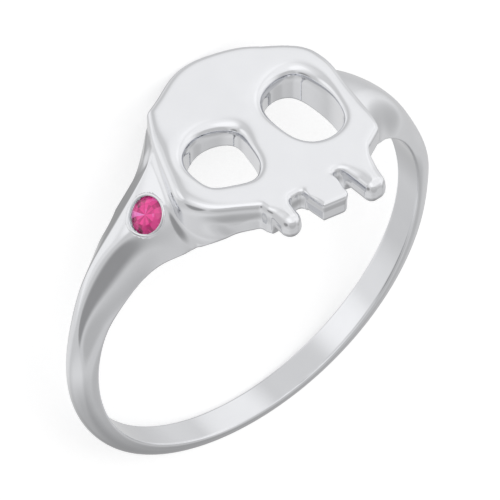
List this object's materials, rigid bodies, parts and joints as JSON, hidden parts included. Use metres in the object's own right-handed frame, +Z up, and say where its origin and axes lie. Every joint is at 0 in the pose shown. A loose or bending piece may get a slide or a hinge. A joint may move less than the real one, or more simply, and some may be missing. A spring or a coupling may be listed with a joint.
{
  "type": "skull ring",
  "caption": "Slim finger ring with a flat skull plate at its head, open eyes and square teeth, and a round stone set flush in one shoulder.",
  "frame": {"origin": "middle of the ring's footprint, on the ground it lies on", "axes": "+Z is up, away from the ground. The ring lies on its side: the skull's face looks to -Y, its teeth point up, and the finger goes through along the mount's axis, leant 11.3 degrees from +Z. The stone's shoulder is at +X."},
  "size_m": [0.0192, 0.0198, 0.0103],
  "materials": {
    "metal": "high polish white metal",
    "gem": "polished, deep pink, transparent"
  },
  "bodies": {
    "root": {"ring_body": "metal", "stone": "gem"}
  },
  "joints": []
}
